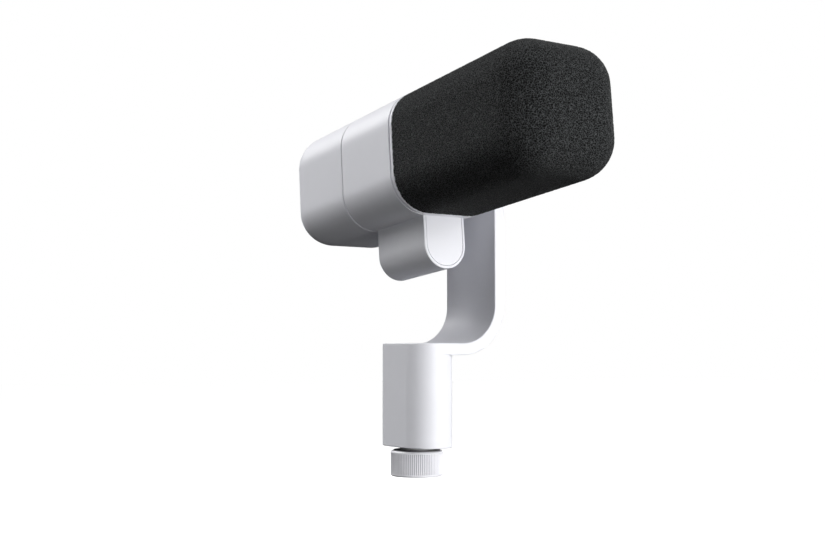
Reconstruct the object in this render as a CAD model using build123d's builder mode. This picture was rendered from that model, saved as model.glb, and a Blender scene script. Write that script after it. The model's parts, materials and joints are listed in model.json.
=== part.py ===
"""Side-held broadcast microphone: a rounded-square head that tilts on a one-sided yoke.

Frame: +Z is up and is the axis of the stand thread, whose mouth is the origin. The head's nose
points along -Y and the yoke's arm stands on the +X side. All sizes are in millimetres.

Everything in the head is placed by its station: the distance along the head's own axis from the
back face of the windscreen foam, forwards positive.
"""

import os
from math import cos, radians, sin

from build123d import *

# --- Fits and clearances -------------------------------------------------------------------
running_gap = 0.05  # radial, between a shaft and the hole it turns in
thrust_gap = 0.05  # axial, between faces that turn against each other
seat_gap = 0.1  # around a plate or cover that drops into its seat
slide_gap = 0.15  # around a part that slides in its pocket
screw_gap = 0.2  # radial, around a screw that passes through
tolerance = 0.001  # for telling edges apart

# --- Stand coupling ------------------------------------------------------------------------
ring_diameter = 25.46
ring_height = 12.1
ring_edge = 0.9
ring_lip = 1.4
flute_count = 84
flute_radius = 0.32
flute_depth = 0.24
thread_minor_diameter = 14.86  # 5/8"-27 internal thread, at its crest
insert_diameter = 20.4
insert_length = 8.0
coupling_gap = 1.87  # between the ring's top and the post's underside
neck_diameter = 16.6
neck_bore = 14.0
neck_depth_in_post = 8.0
flange_diameter = 21.8
flange_thickness = 1.7
thrust_washer_thickness = 0.45
top_washer_diameter = 22.6
top_washer_thickness = 0.4

# --- Yoke ----------------------------------------------------------------------------------
post_width = 24.0
post_height = 49.5
post_core_depth = 26.0
yoke_depth = 41.8  # front to back, of the post and of the arm alike
arm_thickness = 5.65
arm_gap = 2.8  # between the head's side and the arm's inner face
bend_radius = 18.8
yoke_edge = 0.5
pivot_rise = 86.8  # from the post's top to the tilt axis

# --- Head ----------------------------------------------------------------------------------
head_tilt = 5.14  # degrees nose-up, as stored
head_width = 57.8
head_height = 58.4
head_corner = 17.8
end_rounding = 17.7
shell_wall = 2.4
shell_edge = 0.3
sleeve_length = 44.4
seam_width = 0.6
cover_length = 58.45
pivot_setback = 24.05  # from the foam's back face to the tilt axis
spigot_length = 5.0
spigot_wall = 1.4
gasket_recess = 0.5
ledge_setback = 3.15  # from the sleeve's front edge to the ledge
ledge_thickness = 3.0
ledge_opening = 34.0
ledge_corner = 6.0

# --- Tilt pivot ----------------------------------------------------------------------------
pivot_diameter = 8.0
pad_diameter = 18.0
pad_depth = 4.0
bolt_head_diameter = 16.0
bolt_head_height = 3.5
friction_disc_diameter = 21.0
pocket_diameter = 20.0
pocket_depth = 3.6
cap_diameter = 24.0
cap_seat_depth = 1.0
cap_proud = 1.6
cap_wall = 1.2
cap_edge = 0.9
bearing_washer_diameter = 17.0
bearing_washer_thickness = 0.6
spring_washer_diameter = 16.0
spring_washer_thickness = 0.8
pivot_nut_diameter = 15.0
pivot_nut_height = 1.9

# --- Connector housing ---------------------------------------------------------------------
housing_length = 41.7
housing_setback = 0.35  # its front face behind the sleeve's front edge
housing_drop = 24.85  # from the sleeve's underside to the housing's lowest line
housing_wall = 2.0
housing_edge = 0.5
cap_plate_inset = 1.4
cap_plate_gap = 0.2
cap_plate_edge = 0.3
cap_plate_thickness = 1.5
socket_bore = 19.2
socket_shell_wall = 0.8
socket_cover = 1.1  # the housing's wall around the connector's shell
socket_depth = 14.9
socket_shell_length = 20.9
socket_insert_length = 5.5
pin_diameter = 2.4
pin_circle = 9.8
pin_length = 21.5
pin_setback = 2.9  # its tip inside the socket's mouth
pin_tip = 0.7
wire_slot_width = 13.0
wire_slot_length = 7.0
wire_slot_setback = 13.0
wire_diameter = 1.2
wire_bend = 4.0

# --- Windscreen ----------------------------------------------------------------------------
foam_length = 96.5
foam_wall = 7.5
foam_nose = 11.5
base_ring_length = 1.95
base_ring_edge = 0.4
shadow_gap = 0.9  # between the base ring and the sleeve
cavity_corner = 10.5
magnet_diameter = 3.5
magnet_length = 1.2
magnet_inset = 5.0  # from the head's outside

# --- Deck, grille and capsule --------------------------------------------------------------
deck_face_gap = 0.05
deck_opening = 33.0
basket_gap = 0.5
basket_wall = 0.8
basket_groove = 1.0
basket_length = 82.25
pop_foam_wall = 2.5
pop_foam_start = 4.3
carrier_diameter = 31.0
carrier_wall = 1.6
carrier_tail = 5.75
carrier_front = 44.0
rear_mount_diameter = 39.0
rear_mount_length = 6.0
front_mount_length = 2.0
capsule_diameter = 33.0
capsule_length = 18.0
capsule_stub_diameter = 27.6
capsule_stub_length = 6.0
capsule_cap_length = 3.0
capsule_cap_edge = 1.0
capsule_cap_holes = 8
switch_spacing = 18.0
switch_inset = 5.8  # from the head's top
switch_travel = 2.4
slider_length = 3.2
slider_width = 2.8
slider_thickness = 1.85
slider_base = 0.9
nib_length = 1.2
contact_thickness = 0.8
switch_pocket_depth = 3.0
slider_lift = 0.1

# --- Electronics ---------------------------------------------------------------------------
tray_width = 21.0
tray_thickness = 1.5
tray_length = 76.0
tray_slot_corner = 1.0
tray_drop = 17.5  # from the head's axis to the tray's top
tray_tab_height = 5.0
tray_screw_x = 7.5
tray_screw_drop = 4.0  # from the tray's top to the screws' line
standoff_diameter = 4.0
standoff_height = 5.5
standoff_margin = 7.0  # from the board's ends
board_width = 30.0
board_length = 73.0
board_thickness = 1.6
board_setback = 2.0
board_screw_diameter = 2.0
board_screw_head = 3.6
board_screw_head_height = 1.4
component_x = 7.0
capacitor_diameter = 8.0
capacitor_height = 11.0
capacitor_setbacks = (19.0, 30.0)
choke_size = 12.0
choke_setback = 52.0
chip_width = 6.0
chip_length = 8.0
chip_height = 2.0
chip_setbacks = (22.0, 34.0)

# --- Screws --------------------------------------------------------------------------------
tie_side_inset = 13.9  # from the head's side
tie_top_inset = 8.7  # from the head's top and underside
tie_diameter = 3.0
tie_head_diameter = 5.4
tie_head_height = 2.0
tie_length = 64.0
tie_grip = 12.0
cover_post_diameter = 6.4
deck_screw_inset = 5.3  # from the head's side
deck_screw_y = 9.0
deck_screw_diameter = 2.5
deck_screw_head = 4.2
deck_screw_head_height = 1.0
housing_screw_diameter = 3.0
housing_screw_head = 5.4
housing_screw_head_height = 2.0
housing_screw_bite = 1.8
housing_screw_margin = 5.0  # from the wire slot and from the housing's rear

# --- Worked-out levels and stations --------------------------------------------------------
post_bottom = ring_height + coupling_gap
post_top = post_bottom + post_height
pivot_height = post_top + pivot_rise
arm_reach = head_width / 2 + arm_gap
arm_outer = arm_reach + arm_thickness
bend_centre = (arm_reach - bend_radius, post_top + bend_radius)

cavity_width = head_width - 2 * shell_wall
cavity_height = head_height - 2 * shell_wall
cavity_radius = head_corner - shell_wall
sleeve_front = -(base_ring_length + shadow_gap)
sleeve_rear = sleeve_front - sleeve_length
cover_front = sleeve_rear - seam_width
cover_rear = cover_front - cover_length
ledge_front = sleeve_front - ledge_setback
ledge_rear = ledge_front - ledge_thickness
deck_front = -(base_ring_length + deck_face_gap)
housing_front = sleeve_front - housing_setback
housing_rear = housing_front - housing_length
housing_width = socket_bore + 2 * (socket_shell_wall + socket_cover)
housing_top = -head_height / 2
socket_centre = housing_top - (housing_drop - housing_width / 2)
socket_floor = housing_rear + socket_depth
wire_station = -wire_slot_setback
tray_top = -tray_drop
board_bottom = tray_top + standoff_height
board_top = board_bottom + board_thickness
board_front = ledge_rear - board_setback
board_rear = board_front - board_length
basket_width = head_width - 2 * (foam_wall + basket_gap)
basket_height = head_height - 2 * (foam_wall + basket_gap)
basket_rear = deck_front - basket_groove
basket_front = basket_rear + basket_length
capsule_rear = carrier_front + front_mount_length

# --- Placing -------------------------------------------------------------------------------
nose = Vector(0, -cos(radians(head_tilt)), sin(radians(head_tilt)))
head = Plane(
    origin=Vector(0, 0, pivot_height) + nose * pivot_setback,
    x_dir=(1, 0, 0),
    z_dir=nose,
)
tie_x = head_width / 2 - tie_side_inset
tie_y = head_height / 2 - tie_top_inset
deck_screw_x = head_width / 2 - deck_screw_inset
magnet_x = head_width / 2 - magnet_inset
magnet_y = head_height / 2 - magnet_inset
switch_y = head_height / 2 - switch_inset
tie_places = [(x, y) for x in (-tie_x, tie_x) for y in (-tie_y, tie_y)]
deck_screw_places = [
    (x, y) for x in (-deck_screw_x, deck_screw_x) for y in (-deck_screw_y, deck_screw_y)
]
tray_screw_places = [(x, tray_top - tray_screw_drop) for x in (-tray_screw_x, tray_screw_x)]
magnet_places = [(-magnet_x, 0), (magnet_x, 0), (0, -magnet_y), (0, magnet_y)]
switch_places = [(-switch_spacing / 2, switch_y), (switch_spacing / 2, switch_y)]


def station(distance):
    """The plane across the head at a station, its X to the right and its Y up."""
    return head.offset(distance)


def across(distance):
    """The plane square to the tilt axis at a distance from the thread axis, looking out along +X."""
    return Plane(origin=(distance, 0, pivot_height), x_dir=(0, 1, 0), z_dir=(1, 0, 0))


def level(height, distance):
    """The plane parallel to the head's underside, at a height over its axis and a station."""
    return Plane(origin=head.from_local_coords((0, height, distance)), x_dir=(1, 0, 0), z_dir=head.y_dir)


def head_point(x, y, distance):
    """A point in the head's own coordinates, in the part's frame."""
    return head.from_local_coords((x, y, distance))


def end_edges(part, distance):
    """The edges of a bar that bound its flat end at a station."""
    face = part.faces().sort_by_distance(head_point(0, 0, distance))[0]
    return face.edges()


def tube(start, length, outer, inner=0.0):
    """A round tube or rod along the head's axis."""
    with BuildPart() as piece:
        with BuildSketch(station(start)):
            Circle(outer / 2)
            if inner:
                Circle(inner / 2, mode=Mode.SUBTRACT)
        extrude(amount=length)
    return piece


def closed_bar(start, length, width, height, corner, rounding, towards_nose=True):
    """A rounded-square bar from a station, with its far end rounded over."""
    reach = length if towards_nose else -length
    with BuildPart() as piece:
        with BuildSketch(station(start)):
            RectangleRounded(width, height, corner)
        extrude(amount=reach)
        fillet(end_edges(piece, start + reach), rounding)
    return piece


def washer(start, thickness, outer, inner):
    """A washer square to the tilt axis."""
    with BuildPart() as piece:
        with BuildSketch(across(start)):
            Circle(outer / 2)
            Circle(inner / 2, mode=Mode.SUBTRACT)
        extrude(amount=thickness)
    return piece


def screws(seat, places, head_diameter, head_height, shank_diameter, shank_length):
    """Socket-head screws with their heads standing on a seat plane and their shanks below it."""
    with BuildPart() as group:
        with BuildSketch(seat):
            with Locations(*places):
                Circle(shank_diameter / 2)
        extrude(amount=-shank_length)
        with BuildSketch(seat):
            with Locations(*places):
                Circle(head_diameter / 2)
        extrude(amount=head_height)
        with BuildSketch(seat.offset(head_height)):
            with Locations(*places):
                RegularPolygon(head_diameter / 4, 6)
        extrude(amount=-head_height / 2, mode=Mode.SUBTRACT)
    return group


def discs(seat, places, diameter, thickness):
    """A group of equal discs standing on a plane."""
    with BuildPart() as group:
        with BuildSketch(seat):
            with Locations(*places):
                Circle(diameter / 2)
        extrude(amount=thickness)
    return group


def housing_outline(inset, top_inset=0.0):
    """The connector housing's section, flat on top and full-round below, drawn in by an inset."""
    width = housing_width - 2 * inset
    straight = housing_top - top_inset - socket_centre
    with Locations((0, socket_centre + straight / 2)):
        Rectangle(width, straight)
    with Locations((0, socket_centre)):
        Circle(width / 2)


# === Stand coupling ========================================================================

with BuildPart() as coupling_ring:
    Cylinder(ring_diameter / 2, ring_height, align=(Align.CENTER, Align.CENTER, Align.MIN))
    chamfer(coupling_ring.edges(), ring_edge)
    with BuildSketch(Plane.XY):
        with PolarLocations(ring_diameter / 2 + flute_radius - flute_depth, flute_count):
            Circle(flute_radius)
    extrude(amount=ring_height, mode=Mode.SUBTRACT)
    with BuildSketch(Plane.XY):
        Circle(insert_diameter / 2)
    extrude(amount=insert_length, mode=Mode.SUBTRACT)
    with BuildSketch(Plane.XY.offset(insert_length)):
        Circle(flange_diameter / 2 + slide_gap)
    extrude(amount=ring_height - ring_lip - insert_length, mode=Mode.SUBTRACT)
    with BuildSketch(Plane.XY.offset(insert_length)):
        Circle(neck_diameter / 2 + running_gap)
    extrude(amount=ring_height - insert_length, mode=Mode.SUBTRACT)

with BuildPart() as thread_insert:
    with BuildSketch(Plane.XY):
        Circle(insert_diameter / 2)
        Circle(thread_minor_diameter / 2, mode=Mode.SUBTRACT)
    extrude(amount=insert_length)

# The flange hangs in the ring's recess, under the thrust washer and the ring's lip.
thrust_washer_bottom = ring_height - ring_lip - thrust_gap - thrust_washer_thickness
flange_bottom = thrust_washer_bottom - flange_thickness

with BuildPart() as swivel_bush:
    with BuildSketch(Plane.XY.offset(flange_bottom)):
        Circle(flange_diameter / 2)
    extrude(amount=flange_thickness)
    with BuildSketch(Plane.XY.offset(flange_bottom)):
        Circle(neck_diameter / 2)
    extrude(amount=post_bottom + neck_depth_in_post - flange_bottom)
    with BuildSketch(Plane.XY.offset(flange_bottom)):
        Circle(neck_bore / 2)
    extrude(amount=post_bottom + neck_depth_in_post - flange_bottom, mode=Mode.SUBTRACT)

with BuildPart() as thrust_washer:
    with BuildSketch(Plane.XY.offset(thrust_washer_bottom)):
        Circle(flange_diameter / 2)
        Circle(neck_diameter / 2, mode=Mode.SUBTRACT)
    extrude(amount=thrust_washer_thickness)

with BuildPart() as top_washer:
    with BuildSketch(Plane.XY.offset(ring_height + thrust_gap)):
        Circle(top_washer_diameter / 2)
        Circle(neck_diameter / 2, mode=Mode.SUBTRACT)
    extrude(amount=top_washer_thickness)

# === Yoke ==================================================================================


def on_arm_side(edge):
    """Whether an edge runs along one of the arm's two sides or round its end."""
    ends = [edge @ 0, edge @ 1]
    at_side = all(abs(abs(end.Y) - yoke_depth / 2) < tolerance for end in ends)
    round_end = edge.geom_type == GeomType.CIRCLE and abs(edge.radius - yoke_depth / 2) < tolerance
    across_thickness = edge.length < arm_thickness + tolerance
    across_width = abs(ends[0].Y - ends[1].Y) > tolerance
    at_root = all(end.X < tolerance for end in ends)
    return round_end or (at_side and not (across_thickness or across_width or at_root))


with BuildPart() as arm_strap:
    with BuildSketch(Plane.XZ):
        with BuildLine():
            Line((0, post_top), (bend_centre[0], post_top))
            CenterArc(bend_centre, bend_radius, -90, 90)
            Line((arm_reach, bend_centre[1]), (arm_reach, pivot_height))
            Line((arm_reach, pivot_height), (arm_outer, pivot_height))
            Line((arm_outer, pivot_height), (arm_outer, bend_centre[1]))
            CenterArc(bend_centre, bend_radius + arm_thickness, 0, -90)
            Line((bend_centre[0], post_top - arm_thickness), (0, post_top - arm_thickness))
            Line((0, post_top - arm_thickness), (0, post_top))
        make_face()
    extrude(amount=yoke_depth / 2, both=True)
    with BuildSketch(across(arm_reach)):
        Circle(yoke_depth / 2)
    extrude(amount=arm_thickness)
    fillet(arm_strap.edges().filter_by(on_arm_side), yoke_edge)

with BuildPart() as yoke_arm:
    with BuildSketch(Plane.XY.offset(post_bottom)):
        SlotOverall(yoke_depth, post_width, rotation=90)
    extrude(amount=post_height)
    rims = yoke_arm.edges().group_by(Axis.Z)
    fillet(rims[0] + rims[-1], yoke_edge)
    add(arm_strap.part)
    # Seat of the swivel bush, and the core above it that a long stud runs into.
    with BuildSketch(Plane.XY.offset(post_bottom)):
        Circle(neck_diameter / 2)
    extrude(amount=neck_depth_in_post, mode=Mode.SUBTRACT)
    with BuildSketch(Plane.XY.offset(post_bottom)):
        Circle(neck_bore / 2)
    extrude(amount=post_core_depth, mode=Mode.SUBTRACT)
    # Pivot bore, and the stepped pocket for the washers, the nut and the cap.
    with BuildSketch(across(arm_reach)):
        Circle(pivot_diameter / 2 + running_gap)
    extrude(amount=arm_thickness, mode=Mode.SUBTRACT)
    with BuildSketch(across(arm_outer - pocket_depth)):
        Circle(pocket_diameter / 2)
    extrude(amount=pocket_depth, mode=Mode.SUBTRACT)
    with BuildSketch(across(arm_outer - cap_seat_depth)):
        Circle(cap_diameter / 2)
    extrude(amount=cap_seat_depth, mode=Mode.SUBTRACT)

with BuildPart() as pivot_cap:
    with BuildSketch(across(arm_outer - cap_seat_depth)):
        Circle(cap_diameter / 2 - seat_gap)
    extrude(amount=cap_seat_depth + cap_proud)
    fillet(pivot_cap.edges().sort_by(Axis.X)[-1], cap_edge)
    with BuildSketch(across(arm_outer - cap_seat_depth)):
        Circle(pocket_diameter / 2 - 2 * seat_gap)
    extrude(amount=cap_seat_depth + cap_proud - cap_wall, mode=Mode.SUBTRACT)

# === Tilt pivot, all of it turning with the head ===========================================

pocket_floor = arm_outer - pocket_depth
bolt_seat = head_width / 2 - shell_wall - pad_depth
bearing_washer_start = pocket_floor + thrust_gap
spring_washer_start = bearing_washer_start + bearing_washer_thickness
nut_start = spring_washer_start + spring_washer_thickness

friction_disc = washer(head_width / 2, arm_gap - thrust_gap, friction_disc_diameter, pivot_diameter)
bearing_washer = washer(
    bearing_washer_start, bearing_washer_thickness, bearing_washer_diameter, pivot_diameter
)
spring_washer = washer(spring_washer_start, spring_washer_thickness, spring_washer_diameter, pivot_diameter)

with BuildPart() as pivot_bolt:
    with BuildSketch(across(bolt_seat - bolt_head_height)):
        RegularPolygon(bolt_head_diameter / 2, 6)
    extrude(amount=bolt_head_height)
    with BuildSketch(across(bolt_seat)):
        Circle(pivot_diameter / 2)
    extrude(amount=nut_start + pivot_nut_height - bolt_seat)

with BuildPart() as pivot_nut:
    with BuildSketch(across(nut_start)):
        Circle(pivot_nut_diameter / 2)
        Circle(pivot_diameter / 2, mode=Mode.SUBTRACT)
        with PolarLocations(pivot_nut_diameter / 2, 4):
            Circle(pivot_nut_height / 2, mode=Mode.SUBTRACT)
    extrude(amount=pivot_nut_height)

# === Head shells ===========================================================================

with BuildPart() as front_sleeve:
    with BuildSketch(station(sleeve_rear)):
        RectangleRounded(head_width, head_height, head_corner)
    extrude(amount=sleeve_length)
    fillet(end_edges(front_sleeve, sleeve_rear) + end_edges(front_sleeve, sleeve_front), shell_edge)
    with BuildSketch(station(sleeve_rear)):
        RectangleRounded(cavity_width, cavity_height, cavity_radius)
    extrude(amount=sleeve_length, mode=Mode.SUBTRACT)
    # The ledge that carries the deck.
    with BuildSketch(station(ledge_rear)):
        RectangleRounded(cavity_width, cavity_height, cavity_radius)
        RectangleRounded(ledge_opening, ledge_opening, ledge_corner, mode=Mode.SUBTRACT)
        with Locations(*tie_places):
            Circle(tie_diameter / 2 + screw_gap, mode=Mode.SUBTRACT)
        with Locations(*deck_screw_places, *tray_screw_places):
            Circle(deck_screw_diameter / 2, mode=Mode.SUBTRACT)
    extrude(amount=ledge_thickness)
    with BuildSketch(station(ledge_front)):
        with Locations(*tie_places):
            Circle(tie_head_diameter / 2 + screw_gap)
    extrude(amount=-tie_head_height, mode=Mode.SUBTRACT)
    # The pad that carries the pivot bolt.
    with BuildSketch(across(bolt_seat)):
        Circle(pad_diameter / 2)
    extrude(amount=pad_depth + shell_wall / 2)
    with BuildSketch(across(bolt_seat)):
        Circle(pivot_diameter / 2)
    extrude(amount=pad_depth + shell_wall, mode=Mode.SUBTRACT)
    # The way down for the wires, and the holes of the connector housing's screws.
    with BuildSketch(level(-cavity_height / 2, wire_station)):
        RectangleRounded(wire_slot_width, wire_slot_length, wire_slot_length / 3)
    extrude(amount=-shell_wall, mode=Mode.SUBTRACT)

housing_screw_stations = [
    wire_station - wire_slot_length / 2 - housing_screw_margin,
    housing_rear + housing_screw_margin,
]
sleeve_floor = level(-cavity_height / 2, 0)
housing_screw_places = [(0, -distance) for distance in housing_screw_stations]

with BuildPart() as sleeve_holes:
    with BuildSketch(sleeve_floor):
        with Locations(*housing_screw_places):
            Circle(housing_screw_diameter / 2)
    extrude(amount=-(shell_wall + housing_screw_bite))

front_sleeve.part -= sleeve_holes.part

cover_hollow = closed_bar(
    cover_front,
    cover_length - shell_wall,
    cavity_width,
    cavity_height,
    cavity_radius,
    end_rounding - shell_wall,
    towards_nose=False,
)
cover_block = closed_bar(
    cover_front, cover_length, head_width, head_height, head_corner, end_rounding, towards_nose=False
)
post_end = ledge_front - tie_head_height - tie_length + tie_grip

with BuildPart() as cover_posts:
    with BuildSketch(station(cover_rear)):
        with Locations(*tie_places):
            Circle(cover_post_diameter / 2)
    extrude(amount=post_end - cover_rear)
    add(cover_block.part, mode=Mode.INTERSECT)

with BuildPart() as rear_cover:
    add(cover_block.part)
    fillet(end_edges(rear_cover, cover_front), shell_edge)
    add(cover_hollow.part, mode=Mode.SUBTRACT)
    add(cover_posts.part)
    # The spigot that enters the sleeve.
    with BuildSketch(station(cover_front - shell_wall)):
        RectangleRounded(cavity_width, cavity_height, cavity_radius)
        RectangleRounded(
            cavity_width - 2 * (seat_gap + spigot_wall),
            cavity_height - 2 * (seat_gap + spigot_wall),
            cavity_radius - seat_gap - spigot_wall,
            mode=Mode.SUBTRACT,
        )
    extrude(amount=shell_wall)
    with BuildSketch(station(cover_front)):
        RectangleRounded(
            cavity_width - 2 * seat_gap, cavity_height - 2 * seat_gap, cavity_radius - seat_gap
        )
        RectangleRounded(
            cavity_width - 2 * (seat_gap + spigot_wall),
            cavity_height - 2 * (seat_gap + spigot_wall),
            cavity_radius - seat_gap - spigot_wall,
            mode=Mode.SUBTRACT,
        )
    extrude(amount=spigot_length)
    with BuildSketch(station(post_end)):
        with Locations(*tie_places):
            Circle(tie_diameter / 2)
    extrude(amount=-tie_grip, mode=Mode.SUBTRACT)

with BuildPart() as seam_gasket:
    with BuildSketch(station(cover_front)):
        RectangleRounded(
            head_width - 2 * gasket_recess, head_height - 2 * gasket_recess, head_corner - gasket_recess
        )
        RectangleRounded(cavity_width, cavity_height, cavity_radius, mode=Mode.SUBTRACT)
    extrude(amount=seam_width)

tie_screws = screws(
    station(ledge_front - tie_head_height),
    tie_places,
    tie_head_diameter,
    tie_head_height,
    tie_diameter,
    tie_length,
)

# === Connector housing =====================================================================

with BuildPart() as connector_housing:
    with BuildSketch(station(housing_rear)):
        housing_outline(0)
    extrude(amount=housing_length)
    upright = connector_housing.edges().filter_by(Axis(head.origin, head.y_dir))
    fillet(upright + connector_housing.edges().filter_by(GeomType.CIRCLE), housing_edge)
    # The hollow in front, and the seat of the cap plate that closes it.
    with BuildSketch(station(housing_front)):
        housing_outline(housing_wall, housing_wall)
    extrude(amount=-(housing_length - socket_shell_length), mode=Mode.SUBTRACT)
    with BuildSketch(station(housing_front)):
        housing_outline(cap_plate_inset - cap_plate_gap)
    extrude(amount=-cap_plate_thickness, mode=Mode.SUBTRACT)
    # The bore for the connector's shell.
    with BuildSketch(station(housing_rear)):
        with Locations((0, socket_centre)):
            Circle(socket_bore / 2 + socket_shell_wall)
    extrude(amount=socket_shell_length, mode=Mode.SUBTRACT)
    with BuildSketch(level(housing_top, wire_station)):
        RectangleRounded(wire_slot_width, wire_slot_length, wire_slot_length / 3)
    extrude(amount=-housing_wall, mode=Mode.SUBTRACT)
    add(sleeve_holes.part, mode=Mode.SUBTRACT)

with BuildPart() as connector_cap:
    with BuildSketch(station(housing_front - cap_plate_thickness)):
        housing_outline(cap_plate_inset)
    extrude(amount=cap_plate_thickness)
    rim = connector_cap.edges().group_by(Axis(head.origin, nose))[-1]
    fillet(rim.filter_by(Axis.X, reverse=True), cap_plate_edge)

with BuildPart() as connector_shell:
    with BuildSketch(station(housing_rear)):
        with Locations((0, socket_centre)):
            Circle(socket_bore / 2 + socket_shell_wall)
            Circle(socket_bore / 2, mode=Mode.SUBTRACT)
    extrude(amount=socket_shell_length)

pin_places = [
    (-pin_circle / 2, socket_centre),
    (0, socket_centre - pin_circle / 2),
    (pin_circle / 2, socket_centre),
]

with BuildPart() as connector_insert:
    with BuildSketch(station(socket_floor)):
        with Locations((0, socket_centre)):
            Circle(socket_bore / 2)
        with Locations(*pin_places):
            Circle(pin_diameter / 2, mode=Mode.SUBTRACT)
    extrude(amount=socket_insert_length)

with BuildPart() as connector_pins:
    with BuildSketch(station(housing_rear + pin_setback)):
        with Locations(*pin_places):
            Circle(pin_diameter / 2)
    extrude(amount=pin_length)
    tips = connector_pins.edges().filter_by(GeomType.CIRCLE).group_by(Axis(head.origin, nose))[0]
    fillet(tips, pin_tip)

housing_screws = screws(
    sleeve_floor,
    housing_screw_places,
    housing_screw_head,
    housing_screw_head_height,
    housing_screw_diameter,
    shell_wall + housing_screw_bite,
)

# === Deck, switches and magnets ============================================================

deck_thickness = deck_front - ledge_front
pocket_length = slider_length + switch_travel + 2 * slide_gap
pocket_width = slider_width + 2 * slide_gap

with BuildPart() as deck:
    with BuildSketch(station(ledge_front)):
        RectangleRounded(
            cavity_width - 2 * seat_gap, cavity_height - 2 * seat_gap, cavity_radius - seat_gap
        )
        Circle(deck_opening / 2, mode=Mode.SUBTRACT)
        with Locations(*deck_screw_places):
            Circle(deck_screw_diameter / 2, mode=Mode.SUBTRACT)
    extrude(amount=deck_thickness)
    with BuildSketch(station(deck_front)):
        with Locations(*deck_screw_places):
            Circle(deck_screw_head / 2)
    extrude(amount=-deck_screw_head_height, mode=Mode.SUBTRACT)
    with BuildSketch(station(deck_front)):
        with Locations(*magnet_places):
            Circle(magnet_diameter / 2)
    extrude(amount=-magnet_length, mode=Mode.SUBTRACT)
    with BuildSketch(station(deck_front)):
        with Locations(*switch_places):
            Rectangle(pocket_length, pocket_width)
    extrude(amount=-switch_pocket_depth, mode=Mode.SUBTRACT)
    with BuildSketch(station(deck_front)):
        RectangleRounded(basket_width, basket_height, cavity_corner - basket_gap)
        RectangleRounded(
            basket_width - 2 * basket_wall,
            basket_height - 2 * basket_wall,
            cavity_corner - basket_gap - basket_wall,
            mode=Mode.SUBTRACT,
        )
    extrude(amount=-basket_groove, mode=Mode.SUBTRACT)

deck_screws = screws(
    station(deck_front - deck_screw_head_height),
    deck_screw_places,
    deck_screw_head,
    deck_screw_head_height,
    deck_screw_diameter,
    deck_thickness - deck_screw_head_height + ledge_thickness,
)
deck_magnets = discs(station(deck_front - magnet_length), magnet_places, magnet_diameter, magnet_length)

with BuildPart() as switch_contacts:
    with BuildSketch(station(deck_front - switch_pocket_depth)):
        with Locations(*switch_places):
            Rectangle(pocket_length, pocket_width)
    extrude(amount=contact_thickness)


def slider(place):
    """A slide-switch button at the left end of its pocket, with a raised nib."""
    x = place[0] - switch_travel / 2
    base_station = deck_front - switch_pocket_depth + contact_thickness + slider_lift
    with BuildPart() as piece:
        with BuildSketch(station(base_station)):
            with Locations((x, place[1])):
                Rectangle(slider_length, slider_width)
        extrude(amount=slider_base)
        with BuildSketch(station(base_station)):
            with Locations((x, place[1])):
                Rectangle(nib_length, slider_width)
        extrude(amount=slider_thickness)
    return piece


low_cut_slider = slider(switch_places[0])
presence_slider = slider(switch_places[1])

# === Grille, capsule and its mounts ========================================================

basket_corner = cavity_corner - basket_gap
basket_block = closed_bar(
    basket_rear, basket_length, basket_width, basket_height, basket_corner, basket_corner - 0.1
)
basket_hollow = closed_bar(
    basket_rear,
    basket_length - basket_wall,
    basket_width - 2 * basket_wall,
    basket_height - 2 * basket_wall,
    basket_corner - basket_wall,
    basket_corner - basket_wall - 0.1,
)
with BuildPart() as grille_basket:
    add(basket_block.part)
    add(basket_hollow.part, mode=Mode.SUBTRACT)

pop_inset = basket_wall + pop_foam_wall
pop_block = closed_bar(
    pop_foam_start,
    basket_front - basket_wall - pop_foam_start,
    basket_width - 2 * basket_wall,
    basket_height - 2 * basket_wall,
    basket_corner - basket_wall,
    basket_corner - basket_wall - 0.1,
)
pop_hollow = closed_bar(
    pop_foam_start,
    basket_front - pop_inset - pop_foam_start,
    basket_width - 2 * pop_inset,
    basket_height - 2 * pop_inset,
    basket_corner - pop_inset,
    basket_corner - pop_inset - 0.1,
)
with BuildPart() as pop_foam:
    add(pop_block.part)
    add(pop_hollow.part, mode=Mode.SUBTRACT)

carrier_rear = deck_front - carrier_tail
capsule_carrier = tube(
    carrier_rear, carrier_front - carrier_rear, carrier_diameter, carrier_diameter - 2 * carrier_wall
)
rear_shock_mount = tube(deck_front, rear_mount_length, rear_mount_diameter, carrier_diameter)
front_shock_mount = tube(carrier_front, front_mount_length, capsule_diameter, capsule_stub_diameter)

with BuildPart() as capsule:
    with BuildSketch(station(capsule_rear - front_mount_length - capsule_stub_length)):
        Circle(capsule_stub_diameter / 2)
    extrude(amount=capsule_stub_length + front_mount_length)
    with BuildSketch(station(capsule_rear)):
        Circle(capsule_diameter / 2)
    extrude(amount=capsule_length)

with BuildPart() as capsule_cap:
    with BuildSketch(station(capsule_rear + capsule_length)):
        Circle(capsule_diameter / 2)
        with PolarLocations(capsule_diameter / 3, capsule_cap_holes):
            Circle(capsule_cap_length / 2, mode=Mode.SUBTRACT)
    extrude(amount=capsule_cap_length)
    rims = capsule_cap.edges().group_by(SortBy.LENGTH)[-1]
    fillet(rims.sort_by_distance(head_point(0, 0, foam_length))[0], capsule_cap_edge)

# === Windscreen ============================================================================

foam_block = closed_bar(0, foam_length, head_width, head_height, head_corner, end_rounding)
foam_hollow = closed_bar(
    0,
    foam_length - foam_nose,
    head_width - 2 * foam_wall,
    head_height - 2 * foam_wall,
    cavity_corner,
    cavity_corner - 0.1,
)
with BuildPart() as windscreen_foam:
    add(foam_block.part)
    add(foam_hollow.part, mode=Mode.SUBTRACT)

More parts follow.
